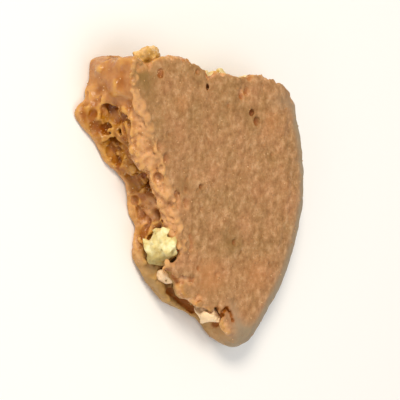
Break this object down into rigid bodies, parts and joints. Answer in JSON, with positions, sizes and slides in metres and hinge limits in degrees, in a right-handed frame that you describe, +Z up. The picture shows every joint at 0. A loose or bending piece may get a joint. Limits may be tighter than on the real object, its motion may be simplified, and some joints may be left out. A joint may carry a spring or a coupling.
{
  "type": "freeze-dried peanut brittle",
  "caption": "Hand-broken piece of aerated peanut brittle with a smooth tan skin, a rounded poured rim and a honeycomb break that shows half peanuts.",
  "frame": {"origin": "under the middle of the piece's bounding box, on the flat underside", "axes": "+Z up, out of the skin; -Y towards the long broken side; +Y towards the poured rim; -X towards the short broken side"},
  "size_m": [0.0608, 0.0564, 0.0133],
  "materials": {
    "brittle": "matte sugar skin, glossier in the broken honeycomb",
    "peanut": "matte cream kernel"
  },
  "bodies": {
    "root": {"brittle": "brittle", "peanut_front": "peanut", "peanut_sliver": "peanut", "peanut_tip": "peanut", "peanut_corner": "peanut", "peanut_back": "peanut", "peanut_back_small": "peanut"}
  },
  "joints": []
}
